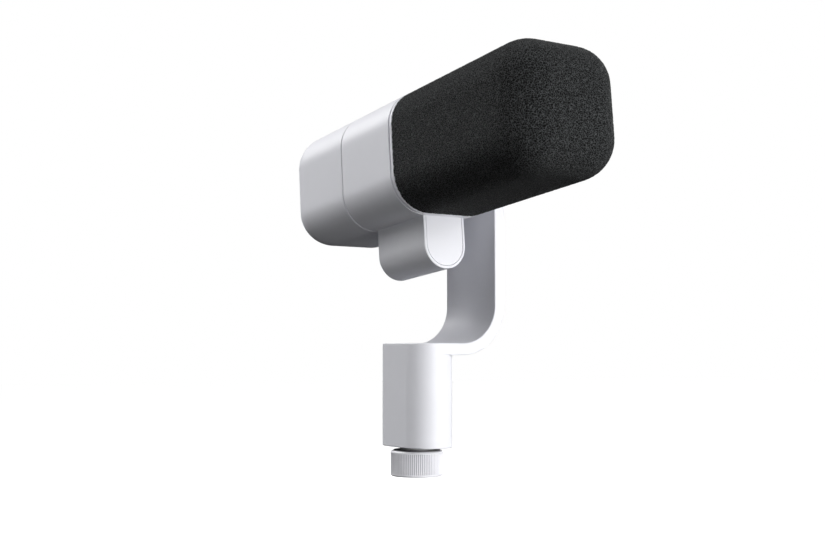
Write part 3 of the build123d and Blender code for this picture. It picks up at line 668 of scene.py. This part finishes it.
class MICROPHONE_OT_ring(bpy.types.Operator):
    """Make the coupling ring, with its straight knurl and rounded rims"""

    bl_idname = "microphone.ring"
    bl_label = "Coupling ring"

    def execute(self, context):
        ring = settings().ring
        low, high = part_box("coupling_ring")
        insert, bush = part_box("thread_insert")[1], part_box("swivel_bush")[1]
        radius, bore, top, step = high.x, insert.x, high.z, insert.z
        lip, under_lip = radius_above("swivel_bush", top) + NECK_GAP, top - LIP_THICKNESS
        recess = bush.x + FLANGE_GAP
        bottom_rim, top_rim = low.z + ring.edge + ring.rim, top - ring.edge - ring.rim
        profile = [(bore, low.z), (radius - ring.edge, low.z)]
        profile += rim_round(radius, ring.edge, low.z + ring.edge, -90)
        profile += [(radius, low.z + ring.edge)]
        for rim in (bottom_rim, top_rim):
            profile += [(radius, rim - FLUTE_RUNOUT), (radius, rim + FLUTE_RUNOUT)]
        profile += [(radius, top - ring.edge)]
        profile += rim_round(radius, ring.edge, top - ring.edge, 0)
        profile += [(radius - ring.edge, top), (lip, top), (lip, under_lip), (recess, under_lip)]
        profile += [(recess, step), (bore, step)]
        block = mesh_object("ring_block", *lathe(profile, ring.flutes * POINTS_PER_FLUTE))
        knurl = block.modifiers.new("Knurl", "NODES")
        knurl.node_group = flute_group()
        material = ring_material(radius, ring.depth, bottom_rim, top_rim)
        place = {"Radius": radius, "Bottom": bottom_rim, "Top": top_rim}
        set_inputs(knurl, {"Flutes": ring.flutes, "Depth": ring.depth, "Material": material, **place})
        piece = frozen(block, "knurled_ring")
        smooth(piece, 40)
        finish_piece(piece, material, "coupling", "ring_white", "coupling_ring")
        return {"FINISHED"}


class MICROPHONE_OT_thread(bpy.types.Operator):
    """Make the brass insert, with its internal thread cut as a helix"""

    bl_idname = "microphone.thread"
    bl_label = "Thread insert"

    def execute(self, context):
        ring = settings().ring
        low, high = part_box("thread_insert")
        outer, crest = high.x, STAND["r_mm"] * MM
        length = high.z - low.z
        around, along = 72, 8  # points round the bore, and along each turn of the thread
        rows = int(length / ring.pitch) * along
        points = []
        for column in range(around):
            angle = math.tau * column / around
            x, y = math.cos(angle), math.sin(angle)
            points.append((outer * x, outer * y, high.z))
            points.append((outer * x, outer * y, low.z))
            for row in range(rows + 1):
                z = low.z + length * row / rows
                phase = ((z - low.z) / ring.pitch - column / around) % 1.0
                # A triangle wave with its tips cut off: flat at the crests and at the roots.
                cut = max(0.0, min(1.0, 1.35 * (1 - abs(2 * phase - 1)) - 0.15))
                fade = min(1.0, (z - low.z) / ring.pitch * 2, (high.z - z) / ring.pitch * 2)
                radius = crest + ring.thread_depth * cut * fade
                points.append((radius * x, radius * y, z))
        outside_points = 2
        count = rows + 1 + outside_points
        piece = mesh_object("threaded_insert", points, closed_faces(around, count))
        smooth(piece, 50)
        material = surface(
            "machined_brass", (0.78, 0.58, 0.28), 0.25, metallic=1.0, grain=900.0, bump=0.04
        )
        finish_piece(piece, material, "coupling", "brass", "thread_insert")
        return {"FINISHED"}


# --- The grille basket ---------------------------------------------------------------------


BACK_REACH = 0.01 * MM  # faces this close to the basket's back are taken away
WELD_REACH = 0.001 * MM


def basket_group():
    """A box of square cells, rounded at its front and sides, with a round hole in each cell."""
    tree, start, end = new_group(
        "Perforated basket",
        "GeometryNodeTree",
        [("Geometry", "NodeSocketGeometry", None), ("Width", "NodeSocketFloat", 0.04),
         ("Height", "NodeSocketFloat", 0.04), ("Length", "NodeSocketFloat", 0.08),
         ("Corner", "NodeSocketFloat", 0.01), ("Pitch", "NodeSocketFloat", 0.0032),
         ("Hole", "NodeSocketFloat", 0.62), ("Band", "NodeSocketFloat", 0.006),
         ("Wall", "NodeSocketFloat", 0.0008), ("Material", "NodeSocketMaterial", None)],
        [("Geometry", "NodeSocketGeometry")],
    )
    tree.is_modifier = True
    given = start.outputs
    size = add_node(
        tree, "ShaderNodeCombineXYZ", {"X": given["Width"], "Y": given["Height"], "Z": given["Length"]}
    ).outputs[0]
    counts = {
        f"Vertices {axis}": sum_of(tree, "ROUND", sum_of(tree, "DIVIDE", given[label], given["Pitch"]))
        for axis, label in (("X", "Width"), ("Y", "Height"), ("Z", "Length"))
    }
    box = add_node(tree, "GeometryNodeMeshCube", {"Size": size, **counts}).outputs["Mesh"]
    middle = sum_of(tree, "MULTIPLY", given["Length"], 0.5)
    forwards = add_node(tree, "ShaderNodeCombineXYZ", {"Z": middle})
    seated = add_node(
        tree, "GeometryNodeSetPosition", {"Geometry": box, "Offset": forwards.outputs[0]}
    ).outputs[0]
    where = add_node(tree, "GeometryNodeInputPosition").outputs[0]
    along = add_node(tree, "ShaderNodeSeparateXYZ", {"Vector": where}).outputs["Z"]
    opened = add_node(
        tree, "GeometryNodeDeleteGeometry",
        {"Geometry": seated, "Selection": sum_of(tree, "LESS_THAN", along, BACK_REACH)}, domain="FACE",
    ).outputs[0]
    # Rounding: each point lies a corner's radius out from the nearest point of an inner box.
    half = vector_of(tree, "MULTIPLY", size, (0.5, 0.5, 1))
    radius = add_node(tree, "ShaderNodeCombineXYZ", {axis: given["Corner"] for axis in "XYZ"}).outputs[0]
    limit = vector_of(tree, "SUBTRACT", half, radius)
    below = vector_of(tree, "SCALE", limit, -1.0)
    capped = vector_of(tree, "MINIMUM", where, limit)
    inner = vector_of(tree, "MAXIMUM", capped, below)
    apart = vector_of(tree, "SUBTRACT", where, inner)
    outwards = vector_of(tree, "NORMALIZE", apart)
    reach = vector_of(tree, "SCALE", outwards, given["Corner"])
    place = vector_of(tree, "ADD", inner, reach)
    inputs = {"Geometry": opened, "Position": place}
    rounded = add_node(tree, "GeometryNodeSetPosition", inputs).outputs[0]
    # A hole in each cell ahead of the plain band.
    cells = add_node(
        tree, "GeometryNodeExtrudeMesh",
        {"Mesh": rounded, "Selection": sum_of(tree, "GREATER_THAN", along, given["Band"]),
         "Offset Scale": 0.0, "Individual": True},
        mode="FACES",
    )
    shrunk = add_node(
        tree, "GeometryNodeScaleElements",
        {"Geometry": cells.outputs["Mesh"], "Selection": cells.outputs["Top"], "Scale": given["Hole"]},
        domain="FACE",
    ).outputs[0]
    pierced = add_node(
        tree, "GeometryNodeDeleteGeometry", {"Geometry": shrunk, "Selection": cells.outputs["Top"]},
        domain="FACE",
    ).outputs[0]
    # The sheet's thickness, inwards.
    inwards = sum_of(tree, "MULTIPLY", given["Wall"], -1.0)
    lining = add_node(
        tree, "GeometryNodeExtrudeMesh",
        {"Mesh": pierced, "Offset Scale": inwards, "Individual": False},
        mode="FACES",
    ).outputs["Mesh"]
    turned = add_node(tree, "GeometryNodeFlipFaces", {"Mesh": lining}).outputs[0]
    both = add_node(tree, "GeometryNodeJoinGeometry")
    tree.links.new(turned, both.inputs[0])
    tree.links.new(pierced, both.inputs[0])
    inputs = {"Geometry": both.outputs[0], "Distance": WELD_REACH}
    welded = add_node(tree, "GeometryNodeMergeByDistance", inputs).outputs[0]
    soft = add_node(tree, "GeometryNodeSubdivisionSurface", {"Mesh": welded, "Level": 1}).outputs[0]
    end_with(tree, soft, given["Material"], end)
    return tree


class MICROPHONE_OT_grille(bpy.types.Operator):
    """Make the perforated steel basket that stands over the capsule"""

    bl_idname = "microphone.grille"
    bl_label = "Grille basket"

    def execute(self, context):
        grille = settings().grille
        width, height, back, front = head_size("grille_basket")
        block = mesh_object("grille_block", [(0, 0, 0), (MM, 0, 0), (0, MM, 0)], [(0, 1, 2)])
        basket = block.modifiers.new("Basket", "NODES")
        basket.node_group = basket_group()
        material = surface("black_mesh_paint", (0.030, 0.030, 0.032), 0.42)
        set_inputs(
            basket,
            {"Width": width, "Height": height, "Length": front - back, "Corner": grille.corner,
             "Pitch": grille.pitch, "Hole": grille.hole, "Band": grille.band, "Wall": grille.wall,
             "Material": material},
        )
        piece = frozen(block, "perforated_basket")
        piece.data.transform(HEAD @ Matrix.Translation((0, 0, back)))
        smooth(piece, 60)
        finish_piece(piece, material, "head", "grille_black", "grille_basket")
        return {"FINISHED"}


# --- Finishes on the carried-over nodes ----------------------------------------------------


def coat(material, *nodes):
    """Gives CAD nodes a material in each of their slots."""
    for node in nodes:
        mesh = NODES[node].data
        if not mesh.materials:
            mesh.materials.append(material)
        for index in range(len(mesh.materials)):
            mesh.materials[index] = material


class MICROPHONE_OT_shells(bpy.types.Operator):
    """Paint the body's castings, the yoke and their caps satin white"""

    bl_idname = "microphone.shells"
    bl_label = "White castings"

    def execute(self, context):
        coat(
            white_paint(), "front_sleeve", "rear_cover", "connector_housing", "connector_cap",
            "yoke_arm", "pivot_cap", "windscreen_ring",
        )
        return {"FINISHED"}


class MICROPHONE_OT_metalwork(bpy.types.Operator):
    """Finish the bare metal pieces: bush, bolt, washers, screws, pins and magnets"""

    bl_idname = "microphone.metalwork"
    bl_label = "Metalwork"

    def execute(self, context):
        steel = surface("plated_steel", (0.56, 0.57, 0.58), 0.28, metallic=1.0, grain=700.0, bump=0.05)
        coat(
            steel, "bearing_washer", "spring_washer", "pivot_bolt", "pivot_nut", "connector_shell",
            "board_tray",
        )
        coat(surface("satin_grey_bush", (0.34, 0.34, 0.35), 0.4, metallic=0.2), "swivel_bush")
        oxide = surface("black_oxide", (0.05, 0.05, 0.055), 0.35, metallic=0.9)
        coat(oxide, "tie_screws", "housing_screws", "deck_screws", "board_screws", "tray_screws")
        nickel = surface("nickel", (0.52, 0.51, 0.49), 0.38, metallic=1.0)
        coat(nickel, "deck_magnets", "windscreen_magnets")
        coat(surface("silver_plate", (0.86, 0.85, 0.82), 0.15, metallic=1.0), "connector_pins")
        aluminium = surface("turned_aluminium", (0.62, 0.62, 0.64), 0.3, metallic=1.0)
        coat(aluminium, "capsule", "capsule_carrier")
        coat(bpy.data.materials["machined_brass"], "standoffs")
        return {"FINISHED"}


class MICROPHONE_OT_soft(bpy.types.Operator):
    """Finish the rubber, the plastics, the inner foam and the electronics"""

    bl_idname = "microphone.soft"
    bl_label = "Rubber, plastic and board"

    def execute(self, context):
        rubber = surface("black_rubber", (0.018, 0.018, 0.019), 0.75, grain=1500.0, bump=0.2, shade=0.2)
        coat(rubber, "seam_gasket", "rear_shock_mount", "front_shock_mount")
        coat(surface("grey_nylon", (0.07, 0.07, 0.073), 0.45), "top_washer")
        plastic = surface(
            "moulded_black", (0.022, 0.022, 0.024), 0.5, grain=1300.0, bump=0.25, shade=0.2
        )
        coat(
            plastic, "deck", "connector_insert", "thrust_washer", "friction_disc", "board_components",
            "switch_contacts",
        )
        coat(surface("switch_button", (0.62, 0.62, 0.64), 0.4), "low_cut_slider", "presence_slider")
        coat(bpy.data.materials["black_mesh_paint"], "grille_basket", "capsule_cap")
        lining = surface("inner_foam", (0.015, 0.015, 0.016), 0.95, grain=900.0, bump=0.6, shade=0.5)
        coat(lining, "pop_foam")
        coat(surface("solder_resist", (0.02, 0.14, 0.07), 0.35), "preamp_board")
        coat(surface("wire_jacket", (0.05, 0.05, 0.055), 0.5), "signal_wires")
        return {"FINISHED"}


# --- Stage ---------------------------------------------------------------------------------


# Each soft light: its turn from the front towards the arm's side and its height in degrees, and its
# power in watts. The low ones stand partly under the floor, so only their upper edges shine past it.
LIGHTS = (
    ("front_light", 13, 5, 21),
    ("top_light", -140, 45, 21),
    ("rear_light", -120, 15, 1),
    ("arm_side_fill", 115, 25, 12),
    ("low_front_light", -30, -25, 16),
    ("low_arm_side_light", 60, -20, 6),
)
FLOOR_REACH = 6.0
LIGHT_WIDTH = 1.0
LIGHT_DISTANCE = 1.3
LIGHT_TARGET = Vector((0, 0, 0.11))


def bearing(turn, rise):
    """The direction at a turn from the front towards the arm's side and an angle above level."""
    return Vector((math.sin(turn) * math.cos(rise), -math.cos(turn) * math.cos(rise), math.sin(rise)))


def add_light(name, turn, height, power):
    """A soft square light, aimed at the middle of the microphone."""
    light = bpy.data.lights.new(name, "AREA")
    light.energy = power
    light.size = LIGHT_WIDTH
    lamp = bpy.data.objects.new(name, light)
    away = bearing(turn, height)
    lamp.location = LIGHT_TARGET + away * LIGHT_DISTANCE
    lamp.rotation_euler = (-away).to_track_quat("-Z", "Y").to_euler()
    bpy.context.scene.collection.objects.link(lamp)


class MICROPHONE_OT_stage(bpy.types.Operator):
    """Set the camera, the soft lights and the pale floor"""

    bl_idname = "microphone.stage"
    bl_label = "Stage"

    def execute(self, context):
        stage = settings().stage
        scene = context.scene
        lens = bpy.data.cameras.new("camera")
        lens.sensor_width = 36.0
        lens.lens = stage.lens
        lens.clip_start = 0.01
        camera = bpy.data.objects.new("camera", lens)
        turn, pitch = math.radians(stage.azimuth), math.radians(stage.elevation)
        look = -bearing(turn, -pitch)
        camera.location = stage.camera
        camera.rotation_euler = look.to_track_quat("-Z", "Y").to_euler()
        scene.collection.objects.link(camera)
        scene.camera = camera

        for name, turn, height, power in LIGHTS:
            add_light(name, math.radians(turn), math.radians(height), power * stage.brightness)

        world = bpy.data.worlds.new("studio")
        world.use_nodes = True
        tree = world.node_tree
        background = tree.nodes["Background"]
        seen = add_node(tree, "ShaderNodeLightPath").outputs["Is Camera Ray"]
        colour = mix_colour(tree, seen, (0.0, 0.0, 0.0, 1), (1, 1, 1, 1))
        tree.links.new(colour, background.inputs["Color"])
        scene.world = world
        scene.view_settings.view_transform = "Standard"

        corners = [(-1, -1), (1, -1), (1, 1), (-1, 1)]
        points = [(x * FLOOR_REACH, y * FLOOR_REACH, -stage.floor_drop) for x, y in corners]
        floor = mesh_object("floor", points, [(0, 1, 2, 3)])
        material, tree, shader = new_material("pale_floor")
        shader.inputs["Base Color"].default_value = (0.86, 0.86, 0.87, 1)
        shader.inputs["Roughness"].default_value = 0.9
        shader.inputs["Emission Color"].default_value = (1, 1, 1, 1)
        shader.inputs["Emission Strength"].default_value = 1.0
        floor.data.materials.append(material)
        floor.visible_diffuse = False
        floor.visible_glossy = False
        return {"FINISHED"}


# --- Panel and registration ----------------------------------------------------------------


class MICROPHONE_PT_pieces(bpy.types.Panel):
    """The microphone's pieces, in the order they are made"""

    bl_label = "Microphone"
    bl_space_type = "VIEW_3D"
    bl_region_type = "UI"
    bl_category = "Microphone"

    def draw(self, context):
        for operator in OPERATORS:
            self.layout.operator(operator.bl_idname)


SETTINGS = (
    FoamSettings, RingSettings, GrilleSettings, PaintSettings, StageSettings, MicrophoneSettings,
)
OPERATORS = (
    MICROPHONE_OT_stage,
    MICROPHONE_OT_foam,
    MICROPHONE_OT_ring,
    MICROPHONE_OT_thread,
    MICROPHONE_OT_grille,
    MICROPHONE_OT_shells,
    MICROPHONE_OT_metalwork,
    MICROPHONE_OT_soft,
)


def register():
    """Registers the settings, the operators and the panel."""
    for cls in (*SETTINGS, *OPERATORS, MICROPHONE_PT_pieces):
        bpy.utils.register_class(cls)
    bpy.types.Scene.microphone = PointerProperty(type=MicrophoneSettings)


def unregister():
    """Takes back what register added."""
    del bpy.types.Scene.microphone
    for cls in reversed((*SETTINGS, *OPERATORS, MICROPHONE_PT_pieces)):
        bpy.utils.unregister_class(cls)


def main():
    """Makes every piece, in order."""
    register()
    bpy.ops.microphone.stage()
    bpy.ops.microphone.foam()
    bpy.ops.microphone.ring()
    bpy.ops.microphone.thread()
    bpy.ops.microphone.grille()
    bpy.ops.microphone.shells()
    bpy.ops.microphone.metalwork()
    bpy.ops.microphone.soft()


if __name__ == "__main__":
    main()
